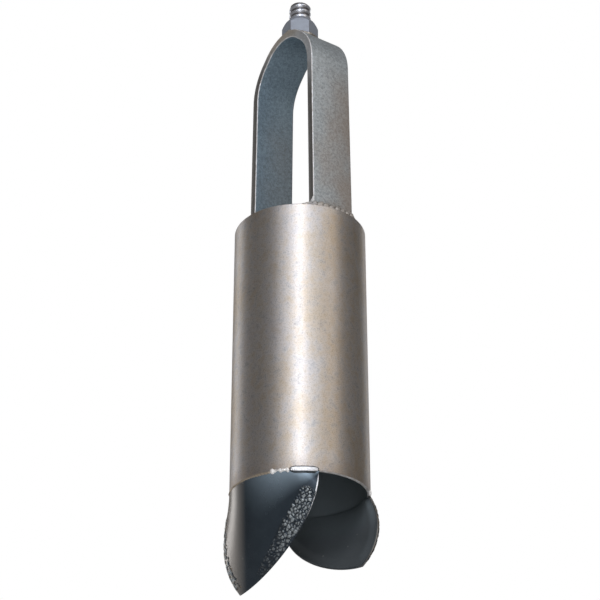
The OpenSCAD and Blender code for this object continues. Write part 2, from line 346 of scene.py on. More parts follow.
def scale_finish(name, base_colour, roughness, stain):
    """Hot-rolled scale on flat bar: grainy, with fine pits and a brown stain low on its far half."""
    c = colours()
    f = Finish(name)
    cloud = f.noise(30.0, 3.0, 0.5)
    sheen_and_stain = f.noise(24.0, 4.0, 0.6, shift=(0.4, 0.1, 0.0))
    pits = f.cells(700.0)
    mottle = f.noise(520.0, 3.0, 0.65)
    grain = f.noise(1500.0, 3.0, 0.7)
    light = tuple(min(1.0, v * 1.3) for v in base_colour)
    dark = tuple(v * 0.72 for v in base_colour)
    base = f.mix((grain * 0.45 + mottle * 0.45 + cloud * 0.1).between(0.38, 0.62), dark, light)
    side = (f.axis("Y") * 15 + sheen_and_stain).between(0.25, 0.75)
    low = f.axis("Z").between(CROWN_Z - 35 * MM, CROWN_Z - 75 * MM)
    base = f.mix(side * low * stain, base, c.rust)
    height = grain * 0.5 + pits.between(0.0, 0.35) * 0.4 + mottle * 0.5
    return f.finished(base, roughness + mottle * 0.1 + grain * 0.08, height, 0.06 * MM, 0.6)


def edge_finish():
    """The flat bar's narrow edges: worn and straw-tinted by the hexagon, with painted shade down the legs.
    """
    c = colours()
    f = Finish("bar_edge_steel")
    rub = f.noise(1.0, 4.0, 0.6, stretch=(160, 160, 40))
    grain = f.noise(900.0, 2.0, 0.6)
    tint = f.axis("Z").between(CROWN_Z - 16 * MM, CROWN_Z - 1 * MM) * 0.45
    base = f.mix((rub * 0.6 + grain * 0.4).between(0.35, 0.65), c.bar_edge, c.bar_edge_light)
    base = f.mix(tint, base, c.weld_gold)
    # Painted shade: the edges darken lower down the legs, sooner on the left leg
    shade = (f.axis("Z") + f.axis("X") * 0.7).between(CROWN_Z - 14 * MM, CROWN_Z - 46 * MM)
    base = f.mix(shade * 0.85, base, c.dirt_and_shade)
    return f.finished(base, 0.36 + rub * 0.16, grain + rub, 0.05 * MM, 0.5)


def zinc_finish(name, plate, roughness, metallic):
    """Bluish zinc plate, dull in patches and darker in the grooves of the thread."""
    c = colours()
    f = Finish(name, metallic)
    cloud = f.noise(260.0, 4.0, 0.6)
    grain = f.noise(1300.0, 2.0, 0.6)
    groove = 1 - f.attribute("height").between(0.1, 0.8)
    base = f.mix(cloud.between(0.45, 0.75) * 0.7, plate, c.zinc_dull)
    base = f.mix(groove * 0.85, base, c.dirt_and_shade)
    height = cloud * 0.8 + grain * 0.4
    return f.finished(base, roughness + cloud * 0.16 + groove * 0.15, height, 0.07 * MM, 0.6)


def bit_finish():
    """Blue-black hardened plate, with a painted sheen by the ground weld, a painted highlight along its
    leading side, and bare ground steel along its lower edge.
    """
    c = colours()
    f = Finish("hardened_bit_plate")
    cloud = f.noise(42.0, 5.0, 0.6)
    scuff = f.noise(1.0, 4.0, 0.7, stretch=(90, 420, 90))
    grain = f.noise(1200.0, 2.0, 0.6)
    edge = f.attribute("edge")
    base = f.mix(cloud.between(0.35, 0.75) * 0.5 + grain * 0.25, c.bit_dark, c.bit_light)
    base = f.mix(scuff.between(0.64, 0.8) * 0.2 + f.specks() * 0.7, base, c.weld_grey)
    # Painted sheen beside the ground weld
    base = f.mix(f.attribute("sheen_and_stain") * (0.7 + cloud * 0.5), base, c.bit_painted_sheen)
    # Painted highlight along the leading side
    base = f.mix(f.attribute("worn") * (0.7 + grain * 0.4), base, c.bit_painted_highlight)
    base = f.mix((edge + (grain - 0.5) * 0.5).between(0.3, 0.6), base, c.ground)
    height = cloud * 0.6 + grain * 0.3 + scuff * 0.3
    return f.finished(base, 0.20 + cloud * 0.12 + edge * 0.2, height, 0.05 * MM, 0.4)


def weld_finish(name, crest, gold, metallic=0.6):
    """Weld metal: the crest's colour on its ripples, dark between them, and tinted by heat."""
    c = colours()
    f = Finish(name, metallic)
    ripple = f.attribute("height")
    cloud = f.noise(220.0)
    base = f.mix(ripple.between(0.0, 0.7), c.dark_and_painted_shade, crest)
    base = f.mix((cloud * 0.5 + 0.5) * gold, base, c.weld_gold)
    return f.finished(base, 0.28 + cloud * 0.2, cloud, 0.1 * MM, 0.6)


def facing_finish(name, bright, brown):
    """Hard facing: bright worn crests, near-black hollows and a little brown."""
    c = colours()
    f = Finish(name)
    lump = f.attribute("height")
    cloud = f.noise(420.0)
    crest = (lump + (cloud - 0.5) * 0.45).between(0.25, 0.95)
    base = f.mix(crest * bright, c.bit_dark, c.facing_bright)
    base = f.mix(cloud.between(0.4, 0.75) * brown, base, c.weld_gold)
    return f.finished(base, 0.22 + cloud * 0.22, cloud, 0.12 * MM, 0.7)


def ground_finish():
    """Freshly ground weld, bright with short scratches, and dark round its border."""
    c = colours()
    f = Finish("ground_weld", metallic=0.55)
    lines = f.noise(1.0, 4.0, 0.7, stretch=(600, 600, 1800))
    border = 1 - f.attribute("height").between(0.55, 0.85)
    base = f.mix(lines.between(0.3, 0.7), c.tube_cool, c.ground)
    base = f.mix(border, base, c.dark_and_painted_shade)
    return f.finished(base, 0.28 + lines * 0.15, lines, 0.04 * MM, 0.5)


# ---- Mesh building ----

def placed(name, data):
    """Puts data in the scene as an object, and returns the object."""
    made = bpy.data.objects.new(name, data)
    bpy.context.scene.collection.objects.link(made)
    return made


def mesh_object(name, bm, materials):
    """Makes a bmesh an object with its materials, and frees the bmesh."""
    mesh = bpy.data.meshes.new(name)
    bm.to_mesh(mesh)
    bm.free()
    for material in materials:
        mesh.materials.append(material)
    return placed(name, mesh)


def add_piece(name, bm, materials, node, rear=False, sharp=38):
    """Makes a bmesh a finished piece that stands for a node. A rear piece is turned half a turn.

    sharp is the angle in degrees above which an edge is drawn sharp."""
    outward(bm)
    if rear:
        bmesh.ops.rotate(bm, matrix=Matrix.Rotation(pi, 3, "Z"), verts=bm.verts)
    piece = mesh_object(name, bm, materials)
    piece.data.polygons.foreach_set("use_smooth", [True] * len(piece.data.polygons))
    piece.data.set_sharp_from_angle(angle=radians(sharp))
    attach(piece, BODY)
    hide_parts(node)


def outward(bm):
    """Merges doubled points and turns every face outwards."""
    bmesh.ops.remove_doubles(bm, verts=bm.verts, dist=1e-6)
    bmesh.ops.recalc_face_normals(bm, faces=bm.faces)


def only(kind, items):
    """The points or the edges in a mixed list."""
    return [item for item in items if isinstance(item, kind)]


def spun(bm, section, steps, closed):
    """Spins a section of points, each a radius and a height, round the axis."""
    verts = [bm.verts.new((x, 0, z)) for x, z in section]
    edges = [bm.edges.new((verts[i - 1], verts[i])) for i in range(0 if closed else 1, len(verts))]
    bmesh.ops.spin(bm, geom=verts + edges, axis=UP, angle=FULL_TURN, steps=steps, use_merge=True)
    outward(bm)


def soften(bm, degrees, offset, segments, above=-1.0):
    """Bevels the edges that turn by more than some degrees and lie above a height."""
    edges = [e for e in bm.edges if e.calc_face_angle(0) > radians(degrees)
             and min(v.co.z for v in e.verts) > above]
    bmesh.ops.bevel(
        bm, geom=edges, offset=offset, segments=segments, profile=0.5, affect="EDGES", material=-1,
        clamp_overlap=True)


def thickened(bm, faces):
    """Closes faces into a skin, and returns the points of its new side, which the caller moves."""
    made = bmesh.ops.extrude_face_region(bm, geom=faces, use_keep_orig=True)["geom"]
    return only(BMVert, made)


def paint(verts, finish):
    """Gives the faces round some points one of the piece's materials."""
    for vert in verts:
        for face in vert.link_faces:
            face.material_index = finish


def mapped_grid(bm, across, along, place, finish=0):
    """Adds a grid in one of the piece's materials, and returns its points.

    place(u, v) returns where a point goes, and its height."""
    heights = bm.verts.layers.float.get("height") or bm.verts.layers.float.new("height")
    spots = bm.verts.layers.float_vector.get("spot") or bm.verts.layers.float_vector.new("spot")
    made = bmesh.ops.create_grid(bm, x_segments=across, y_segments=along, size=0.5)["verts"]
    for vert in made:
        u, v = vert.co.x + 0.5, vert.co.y + 0.5
        vert[spots] = (u, v, 0.0)
        vert.co, vert[heights] = place(u, v)
    paint(made, finish)
    return made


def lump(point, size, seed):
    """Smooth noise from -1 to 1 with lumps of about a size."""
    return noise.noise(point / size + Vector((seed, 0.7 * seed, 1.3 * seed)))


def run_length(point, pieces):
    """The length of a path whose points point(share) returns."""
    points = [point(i / pieces) for i in range(pieces + 1)]
    return sum((b - a).length for a, b in zip(points, points[1:]))


def bead(bm, path, radius, steps, sides, ripple, rough, seed, run=None, squash=1.0, finish=0):
    """Adds a weld bead along path(s), which returns its middle and its outward and upward directions.

    ripple is the spacing of the ripples, rough their share of the radius, run the bead's length and
    squash its flattening."""
    run = run or run_length(lambda share: path(share)[0], 40)

    def place(s, around):
        middle, out, up = path(s)
        turn = around * FULL_TURN
        bow = 0.35 * abs(sin(turn))
        phase = (s * run / ripple - bow) % 1.0
        crest = sin(pi * phase) ** 0.6
        size = radius(s) * (1 - rough + rough * crest)
        size *= 1 + rough * lump(middle + out * 1e-4 * around, 3 * MM, seed)
        point = middle + out * (cos(turn) * size * squash) + up * (sin(turn) * size)
        return point, crest

    mapped_grid(bm, steps, sides, place, finish)


def closed_ends(full, share=0.06):
    """A bead's radius that falls to nothing at both its ends."""
    def radius(s):
        rise = min(1.0, s / share, (1 - s) / share)
        return full * sqrt(max(0.0, 1 - (1 - rise) ** 2))
    return radius


# ---- Bucket tube ----

def build_tube():
    """The bucket tube: a wall section spun round the axis, with softened rims."""
    s = sizes()
    bm = bmesh.new()
    inner = TUBE_R - s.tube_wall
    support = 1 * MM
    levels = (TUBE_BOTTOM, TUBE_BOTTOM + support, TUBE_TOP - support, TUBE_TOP)
    section = [(TUBE_R, z) for z in levels] + [(inner, z) for z in reversed(levels)]
    spun(bm, section, 192, closed=True)
    soften(bm, 60, s.rim_round, 3)
    outer, bore, rim = range(3)
    for face in bm.faces:
        deep = face.calc_center_median().xy.length < TUBE_R - 0.7 * s.tube_wall
        face.material_index = rim if abs(face.normal.z) > 0.5 else bore if deep else outer
    finishes = [tube_finish(), inside_finish("tube_inside_scale"), bare_finish("rim_steel_and_highlight")]
    add_piece("tube_shell", bm, finishes, "bucket_tube")


# ---- Bail ----

def push(bm, edges, vector):
    """Draws a loop of edges out along a vector and returns the new loop."""
    made = bmesh.ops.extrude_edge_only(bm, edges=edges)["geom"]
    bmesh.ops.translate(bm, vec=vector, verts=only(BMVert, made))
    return [e for e in only(BMEdge, made) if e.is_boundary and all(v in made for v in e.verts)]


def bend(bm, edges, centre, turn, steps):
    """Bends a loop of edges up and inwards about a centre in the bail's plane, and returns the new loop."""
    made = bmesh.ops.spin(bm, geom=edges, cent=centre, axis=(0, -1, 0), angle=turn, steps=steps)
    return only(BMEdge, made["geom_last"])


def bail_seat_x():
    """How far a leg's middle stands from the axis inside the tube."""
    s = sizes()
    reach = TUBE_R - s.tube_wall - s.leg_fit
    return sqrt(reach ** 2 - BAIL_HIGH.y ** 2) - s.bar_t / 2


def build_bail():
    """The bail: a bar section drawn up one leg and round to the crown, then mirrored."""
    s = sizes()
    half_t = s.bar_t / 2
    half_w = BAIL_HIGH.y
    seat_x = bail_seat_x()
    shoulder_x = seat_x - s.leg_lean
    sine, cosine = sin(s.arch_slope), cos(s.arch_slope)
    straight = (shoulder_x - s.shoulder_r * (1 - sine) - s.crown_r * sine) / cosine
    rise = s.shoulder_r * cosine + straight * sine + s.crown_r * (1 - cosine)
    shoulder_z = CROWN_Z - half_t - rise
    bm = bmesh.new()
    bottom = BAIL_LOW.z
    bend_steps = 24
    corners = [(-half_t, -half_w), (half_t, -half_w), (half_t, half_w), (-half_t, half_w)]
    verts = [bm.verts.new((seat_x + x, y, bottom)) for x, y in corners]
    bm.faces.new(verts)
    bmesh.ops.bevel(
        bm, geom=verts, offset=s.bar_round, segments=4, profile=0.5, affect="VERTICES", material=-1)
    loop = list(bm.edges)
    loop = push(bm, loop, (0, 0, TUBE_TOP - bottom))
    loop = push(bm, loop, (-s.leg_lean, 0, shoulder_z - TUBE_TOP))
    shoulder_turn = pi / 2 - s.arch_slope
    loop = bend(bm, loop, (shoulder_x - s.shoulder_r, 0, shoulder_z), shoulder_turn, bend_steps)
    loop = push(bm, loop, (-straight * cosine, 0, straight * sine))
    bend(bm, loop, (0, 0, CROWN_Z - half_t - s.crown_r), s.arch_slope, bend_steps)
    bmesh.ops.mirror(bm, geom=bm.verts[:] + bm.edges[:] + bm.faces[:], axis="X", merge_dist=1e-5)
    outward(bm)
    inner, edge, corner = 1, 2, 3
    for face in bm.faces:
        middle = face.calc_center_median()
        towards = Vector((-middle.x, 0, min(0.0, shoulder_z - middle.z)))
        sideways = abs(face.normal.y)
        if 0.3 < sideways < 0.9 and face.normal.x > -0.3:
            face.material_index = corner
        elif sideways > 0.3:
            face.material_index = edge
        elif face.normal.dot(towards) > 0:
            face.material_index = inner
    c = colours()
    add_piece("bail_bar", bm, [
        scale_finish("bail_outer_scale", c.scale_outer, 0.40, 0.5),
        scale_finish("bail_inner_scale", c.scale_inner, 0.44, 0.15),
        edge_finish(), bare_finish("bar_corner_steel_and_highlight")], "bail", sharp=30)


# ---- Hexagon and stud ----

def hex_reach(turn):
    """Distance from the axis to the hexagon's side in a direction."""
    s = sizes()
    sixth = pi / 3
    off = (turn - s.hex_turn) % sixth - sixth / 2
    return s.hex_af / 2 / cos(off)


def build_stud():
    """The hexagon with its cone, cut from a turned blank, and the threaded stud on it."""
    s = sizes()
    hex_r = s.hex_af / 2 / cos(pi / 6)
    blank_r = hex_r * 1.1
    low = STUD_LOW.z
    cone_low = -s.cone_h * (blank_r - s.stud_r) / (hex_r - s.stud_r)
    bm = bmesh.new()
    spun(bm, [(0, low), (blank_r, low), (blank_r, cone_low), (s.stud_r, 0), (0, 0)], 144, closed=False)
    for side in range(6):
        normal = radial(s.hex_turn + pi / 6 + side * pi / 3)
        cut = bmesh.ops.bisect_plane(
            bm, geom=bm.verts[:] + bm.edges[:] + bm.faces[:], dist=1e-7,
            plane_co=normal * s.hex_af / 2, plane_no=normal, clear_outer=True)["geom_cut"]
        bmesh.ops.holes_fill(bm, edges=only(BMEdge, cut), sides=0)
    soften(bm, 20, 0.35 * MM, 2, above=low + 0.01 * MM)
    heights = bm.verts.layers.float.new("height")
    for vert in bm.verts:
        vert[heights] = 1.0
    top = STUD_HIGH.z
    chamfer = 1.15 * MM
    start = -1.5 * MM
    groove_start, groove_fade = 0.6 * MM, 1.6 * MM
    groove_turn = 0.28

    def place(around, along):
        z = start + along * (top - start)
        phase = (z / s.thread_pitch - around - groove_turn) % 1.0
        crest = (0.5 + 0.5 * cos(FULL_TURN * phase)) ** 0.8
        crest = 1 - (1 - crest) * clamp((z - groove_start) / groove_fade)
        radius = s.stud_r - s.thread_depth * (1 - crest)
        radius = min(radius, s.stud_r - chamfer + (top - z))
        return radial(around * FULL_TURN) * radius + UP * z, crest

    bmesh.ops.remove_doubles(bm, verts=mapped_grid(bm, 96, 90, place, finish=1), dist=1e-6)
    bmesh.ops.holes_fill(bm, edges=[e for e in bm.edges if e.is_boundary], sides=0)
    c = colours()
    finishes = [zinc_finish("hexagon_zinc", c.zinc_hex, 0.46, 0.45),
                zinc_finish("thread_zinc", c.zinc, 0.18, 0.9)]
    add_piece("hexagon_and_stud", bm, finishes, "hex_stud")


def build_stud_weld():
    """A weld bead round the foot of the hexagon, which follows the crown of the bail."""
    s = sizes()
    crown_r = s.crown_r + s.bar_t / 2
    centre_z = CROWN_Z - crown_r

    def path(share):
        turn = share * FULL_TURN
        out = radial(turn)
        reach = min(hex_reach(turn), s.hex_af / 2 * 1.12) + 0.45 * s.stud_bead
        spot = out * reach
        spot.z = centre_z + sqrt(crown_r ** 2 - spot.x ** 2) + 0.25 * s.stud_bead
        slope = Vector((spot.x, 0, spot.z - centre_z)).normalized()
        return spot, out, slope

    bm = bmesh.new()
    bead(bm, path, lambda share: s.stud_bead * 0.9, 240, 16, ripple=2.1 * MM, rough=0.14, seed=4.0,
         run=pi * 26 * MM)
    metal = weld_finish("stud_weld_metal", colours().weld_grey, 0.2)
    add_piece("stud_weld_bead", bm, [metal], "stud_weld")


# ---- Cutting bits ----

def cubic(points, t):
    """A point on a cubic curve."""
    a, b, c, d = points
    return a * (1 - t) ** 3 + b * (3 * (1 - t) ** 2 * t) + c * (3 * (1 - t) * t * t) + d * t ** 3


class Plate:
    """The curved face of a bit, by u from its leading to its trailing side and v from the rim down."""

    bulge = 1.6     # how late the face leaves the tube's roundness
    flare = 1.4     # how fast the leading side's flare dies away
    step = 0.002    # step for taking slopes

    def __init__(self):
        s = sizes()
        mouth = s.mouth_w / 2
        self.lead_angle = s.lead_angle
        self.trail_angle = -asin(mouth / TUBE_R)
        tip = Vector((-1.006 * TUBE_R, -mouth, -BIT_DROP))
        trail_top = Vector((TUBE_R * cos(self.trail_angle), -mouth, 0))
        self.lower = (
            tip,
            Vector((-0.236 * TUBE_R, -mouth, -0.948 * BIT_DROP)),
            Vector((0.917 * TUBE_R, -mouth, -0.522 * BIT_DROP)),
            trail_top - Vector((0.3 * MM, 0, 0.05 * BIT_DROP)),
        )
        self.lead = (
            self.rim(0),
            Vector((-0.916 * TUBE_R, -0.602 * TUBE_R, -0.171 * BIT_DROP)),
            Vector((-1.218 * TUBE_R, -0.687 * TUBE_R, -0.595 * BIT_DROP)),
            tip,
        )

    def rim(self, u, radius=TUBE_R):
        """A point of the tube's rim, at the rim's own height."""
        return radial(self.lead_angle + u * (self.trail_angle - self.lead_angle)) * radius

    def web(self, u, v):
        """The face before its leading side flares out."""
        rim, low = self.rim(u), cubic(self.lower, u)
        share = v ** self.bulge
        return Vector((rim.x + (low.x - rim.x) * share, rim.y + (low.y - rim.y) * share, low.z * v))

    def local(self, u, v):
        """A point of the outer face, below the middle of the tube's lower rim."""
        return self.web(u, v) + (cubic(self.lead, v) - self.web(0, v)) * (1 - u) ** self.flare

    def at(self, u, v):
        """A point of the outer face, in the auger's own space."""
        return self.local(u, v) + UP * TUBE_BOTTOM

    def inward(self, u, v):
        """The unit vector into the plate from its outer face."""
        u, v = min(u, 1 - self.step), min(v, 1 - self.step)
        here = self.local(u, v)
        across = self.local(u + self.step, v) - here
        down = self.local(u, v + self.step) - here
        return across.cross(down).normalized()

    def thickness(self, u, v):
        """The plate's thickness, which falls towards its ground edges."""
        s = sizes()
        here = self.local(u, v)
        gap = min((here - cubic(self.lower, u)).length, (here - cubic(self.lead, v)).length)
        share = min(1.0, gap / s.edge_w)
        share = share * share * (3 - 2 * share)
        return s.edge_t + (s.bit_t - s.edge_t) * share

    def inside(self, u, v):
        """A point of the inner face."""
        if v < 1e-6:
            return self.rim(u, TUBE_R - self.thickness(u, 0)) + UP * TUBE_BOTTOM
        point = self.at(u, v) + self.inward(u, v) * self.thickness(u, v)
        point.z = min(point.z, TUBE_BOTTOM)
        return point


def build_bit(side, rear, materials):
    """One bit: a grid laid on its outer face, drawn inwards to its thickness and softened at its edges."""
    ground_w = 1.6 * MM     # width of the bright ground edge
    highlight_w = 11 * MM        # how far the painted highlight band reaches in from the tube's outside
    highlight_fade = 8 * MM
    plate = Plate()
    bm = bmesh.new()
    mapped_grid(bm, 84, 64, lambda u, v: (plate.at(u, v), 1.0))
    spots = bm.verts.layers.float_vector["spot"]
    edge, worn, sheen_and_stain = (bm.verts.layers.float.new(key) for key in ("edge", "worn", "sheen_and_stain"))
    for vert in bm.verts:
        u, v, _ = vert[spots]
        gap = (plate.local(u, v) - cubic(plate.lower, u)).length
        vert[edge] = clamp(1 - gap / ground_w) * clamp((u - 0.55) / 0.35)
        # Painted highlight: the worn mask is a pale band along the leading side
        leading = plate.local(u, v).dot(plate.rim(0).normalized())
        vert[worn] = clamp((leading - TUBE_R + highlight_w) / highlight_fade)
        # Painted sheen: a pale patch near the rim on the trailing half
        vert[sheen_and_stain] = clamp((u - 0.35) / 0.35) * clamp(1 - v / 0.6)
    inner = set(thickened(bm, bm.faces[:]))
    for vert in inner:
        u, v, _ = vert[spots]
        vert.co = plate.inside(u, v)
        vert[edge] = vert[worn] = vert[sheen_and_stain] = 0.0
    for face in bm.faces:
        face.material_index = 1 if all(v in inner for v in face.verts) else 0
    bmesh.ops.recalc_face_normals(bm, faces=bm.faces)
    soften(bm, 50, 0.3 * MM, 3)
    add_piece(f"bit_plate_{side}", bm, materials, f"cutting_bit_{side}", rear)


def build_bits():
    """The two cutting bits, with the same materials."""
    materials = [bit_finish(), inside_finish("bit_inside_scale")]
    for side, rear in SIDES:
        build_bit(side, rear, materials)


def cell_lump(point, size):
    """Flat-topped lumps of about a size, from 0 in the gaps between them to 1 on their tops."""
    gaps = noise.voronoi(point / size)[0]
    return min(1.0, 3.0 * (gaps[1] - gaps[0]))


def lower_facing(plate):
    """Spreads the hard facing along a lower edge: lumps with gaps, which fade out towards the point."""
    s = sizes()
    start, end = 0.20, 0.88

    def spread(along, across):
        u = start + along * (end - start)
        reach = (cubic(plate.lower, u) - plate.rim(u)).length
        round_end = sqrt(max(0.03, 1 - max(0.0, (along - 0.86) / 0.14) ** 2))
        ragged = 1 + 0.18 * noise.noise(Vector((along * 40, 3.0, 7.0)))
        width = s.facing_w * min(1.0, 0.35 + 1.3 * along) * round_end * ragged
        v = 1 - (1 - across) * width / reach
        spot = plate.at(u, v)
        fade = min(1.0, 0.35 + 1.1 * along)
        height = 0.75 * cell_lump(spot, 2.3 * MM) + 0.25 * cell_lump(spot + Vector((0.01, 0, 0)), 1.2 * MM)
        height = max(0.0, height + 0.25 * lump(spot, 3.0 * MM, 2.0)) * fade
        border = min(1.0, along / 0.08, (1 - along) / 0.03)
        border *= min(1.0, across / 0.14) * min(1.0, (1 - across) / 0.1)
        lift = s.facing_t * height * border - 0.1 * MM * (1 - border)
        return u, v, lift, height * (0.3 + 0.7 * border)

    return spread


def lead_facing(plate):
    """Spreads the narrow hard facing along a leading edge: a smooth strip broken by hollow dashes."""
    s = sizes()
    start, end = 0.25, 0.96
    reach = (plate.local(0.1, 0.5) - plate.local(0, 0.5)).length / 0.1
    run = run_length(lambda share: cubic(plate.lead, start + (end - start) * share), 30)

    def spread(across, along):
        v = start + along * (end - start)
        width = s.lead_facing_w * (0.8 + 0.35 * noise.noise(Vector((along * 14, 1.0, 2.0))))
        u = across * width / reach
        spot = plate.at(u, v)
        drops = 0.5 + 0.5 * sin(FULL_TURN * (along * run / (3.6 * MM) + 0.25 * across))
        height = 0.6 + 0.2 * drops + 0.25 * cell_lump(spot, 2.2 * MM)
        dash = noise.noise(Vector((along * run / (2.4 * MM), across * 2.4, 5.0)))
        hollow = min(1.0, max(0.0, (dash - 0.08) / 0.14) + max(0.0, 1 - abs(across - 0.86) / 0.1) * drops)
        border = min(1.0, across / 0.12 + 0.3, (1 - across) / 0.1, along / 0.05, (1 - along) / 0.05)
        height *= (1 - 0.95 * hollow) * max(0.0, border)
        return u, v, 0.6 * s.facing_t * height - 0.08 * MM, height

    return spread


def build_facing(name, node, plate, spread, counts, rear, material):
    """A strip of hard facing on a bit, closed underneath so that it is a solid deposit."""
    bm = bmesh.new()
    root = 0.7 * MM

    def place(a, b):
        u, v, lift, height = spread(a, b)
        return plate.at(u, v) - plate.inward(u, v) * lift, height

    mapped_grid(bm, *counts, place)
    spots = bm.verts.layers.float_vector["spot"]
    for vert in thickened(bm, bm.faces[:]):
        u, v, *_ = spread(*vert[spots][:2])
        vert.co = plate.at(u, v) + plate.inward(u, v) * root
    add_piece(name, bm, [material], node, rear, sharp=60)


def build_facings():
    """The hard facing on the lower and the leading edge of both bits."""
    plate = Plate()
    wide = facing_finish("lower_facing_metal", 0.9, 0.04)
    narrow = facing_finish("leading_facing_metal", 0.95, 0.6)
    lower, lead = lower_facing(plate), lead_facing(plate)
    for side, rear in SIDES:
        build_facing(f"lower_deposit_{side}", f"lower_facing_{side}", plate, lower, (210, 40), rear, wide)
        build_facing(f"leading_deposit_{side}", f"lead_facing_{side}", plate, lead, (26, 150), rear, narrow)


# ---- Welds on the tube's rims ----

def seam_path(first, last, radius, z):
    """A path round the tube between two angles."""
    def path(share):
        out = radial(first + share * (last - first))
        return out * radius + UP * z, out, UP
    return path


def ground_pad(bm, first, last, low, high):
    """Adds a ground patch with rounded ends that covers the seam between two angles."""
    run = (last - first) * TUBE_R
    border, end_round = 1.9 * MM, 4.5 * MM
    sunk, proud, root = 0.15 * MM, 0.42 * MM, 0.9 * MM

    def place(along, across):
        end_gap = min(along, 1 - along) * run
        side_gap = min(across, 1 - across) * (high - low)
        lift = min(1.0, min(side_gap, end_gap) / border)
        ragged = 0.12 * MM * noise.noise(Vector((along * 30, across * 4, 2.0)))
        radius = TUBE_R - sunk + (proud + ragged) * lift
        taper = 1 - 0.75 * max(0.0, 1 - end_gap / end_round) ** 2
        z = TUBE_BOTTOM + 0.5 * (low + high) + (across - 0.5) * (high - low) * taper
        return radial(first + along * (last - first)) * radius + UP * z, lift

    mapped_grid(bm, 110, 18, place, finish=2)
    for vert in thickened(bm, [face for face in bm.faces if face.material_index == 2]):
        vert.co.xy = vert.co.xy.normalized() * (TUBE_R - root)


def drop(bm, turn, z, wide, tall):
    """Adds one round drop of weld metal on the tube's outer face."""
    lean = 0.35
    spot = radial(turn) * (TUBE_R - 0.25 * MM) + UP * z
    place = Matrix.Translation(spot) @ Matrix.Rotation(turn, 4, "Z") @ Matrix.Rotation(lean, 4, "X")
    place = place @ Matrix.Diagonal((0.8 * wide, wide, tall, 1))
    heights = bm.verts.layers.float["height"]
    made = bmesh.ops.create_uvsphere(bm, u_segments=16, v_segments=10, radius=1, matrix=place)["verts"]
    for vert in made:
        vert[heights] = 1.0
    paint(made, 1)


def build_bit_welds():
    """The seams between the tube and the bits: a thin bead, a few drops, and a stretch ground flush."""
    # The drops: degrees along the seam, half width and half height in millimetres
    drop_sizes = ((0.8, 1.5, 1.9), (2.9, 0.9, 1.1), (7.6, 1.0, 1.5), (9.4, 1.3, 1.0), (13.2, 1.1, 1.7))
    s = sizes()
    plate = Plate()
    thin = weld_finish("seam_weld_metal", colours().weld_grey, 0.6)
    # Painted glint: the drops are coloured near white
    drops = weld_finish("drop_weld_glint", colours().weld_painted_glint, 0.1, 0.25)
    ground = ground_finish()
    pad_start = plate.trail_angle - radians(24)
    drop_start = pad_start - radians(14)
    for side, rear in SIDES:
        bm = bmesh.new()
        bead(bm, seam_path(plate.lead_angle, drop_start, TUBE_R - 0.3 * MM, TUBE_BOTTOM),
             closed_ends(0.65 * s.rim_bead), 260, 10, ripple=2.2 * MM, rough=0.3, seed=3.0)
        bead(bm, seam_path(drop_start, pad_start, TUBE_R - 0.1 * MM, TUBE_BOTTOM + 0.5 * MM),
             closed_ends(0.8 * MM), 60, 12, ripple=3.1 * MM, rough=0.5, seed=8.0, finish=1)
        for degrees, wide, tall in drop_sizes:
            drop(bm, drop_start + radians(degrees), TUBE_BOTTOM + 0.4 * MM, wide * MM, tall * MM)
        drop(bm, plate.lead_angle - radians(9), TUBE_BOTTOM - 0.2 * MM, 1.3 * MM, 2.1 * MM)
        ground_pad(bm, pad_start, plate.trail_angle + radians(1), -1.7 * MM, 3.5 * MM)
        add_piece(f"seam_weld_{side}", bm, [thin, drops, ground], f"bit_weld_{side}", rear)


def build_bail_welds():
    """The beads between the bail's legs and the tube, with a flare up one edge of each leg."""
    s = sizes()
    metal = weld_finish("bail_weld_metal", colours().weld_light, 0.25)
    # Painted glint on the flare up each leg's edge
    bright = weld_finish("flare_weld_glint", colours().weld_painted_glint, 0.0, 0.25)
    face_x = bail_seat_x() + s.bar_t / 2
    half_w = BAIL_HIGH.y
    before, after = 8 * MM, 1.5 * MM

    def along_leg(share):
        y = -half_w - before + share * (2 * half_w + before + after)
        out = Vector((sqrt((TUBE_R - 0.7 * MM) ** 2 - y ** 2), y, 0)).normalized()
        size = radius(share)
        middle = out * (TUBE_R - 0.4 * MM - 0.7 * size)
        middle.z = TUBE_TOP + 0.45 * size
        return middle, out, UP

    def radius(share):
        rise = min(1.0, 0.15 + share / 0.22, (1 - share) / 0.05)
        swell = 0.3 * noise.noise(Vector((share * 12, 4.0, 1.0)))
        ends = min(1.0, share / 0.02, (1 - share) / 0.02)
        return (2.1 + 1.3 * swell) * s.rim_bead * rise * sqrt(max(0.0, ends))

    def flare(share):
        foot = Vector((face_x + 0.7 * MM, -half_w - 1.6 * MM, TUBE_TOP + 0.3 * MM))
        head = Vector((face_x - 0.6 * MM, -half_w + 0.1 * MM, TUBE_TOP + 8 * MM))
        return foot.lerp(head, share), Vector((0.8, -0.6, 0)), Vector((0.6, 0.8, 0))

    def flare_radius(share):
        return (0.4 + 3.2 * (1 - share) ** 1.7) * MM * sqrt(min(1.0, share / 0.08, (1 - share) / 0.08))

    for side, rear in (("right", False), ("left", True)):
        bm = bmesh.new()
        bead(bm, along_leg, radius, 200, 18, ripple=4.6 * MM, rough=0.5, seed=12.0, squash=0.75)
        bead(bm, flare, flare_radius, 40, 14, ripple=9 * MM, rough=0.05, seed=15.0, finish=1)
        add_piece(f"leg_weld_{side}", bm, [metal, bright], f"bail_weld_{side}", rear)


# ---- Stage ----

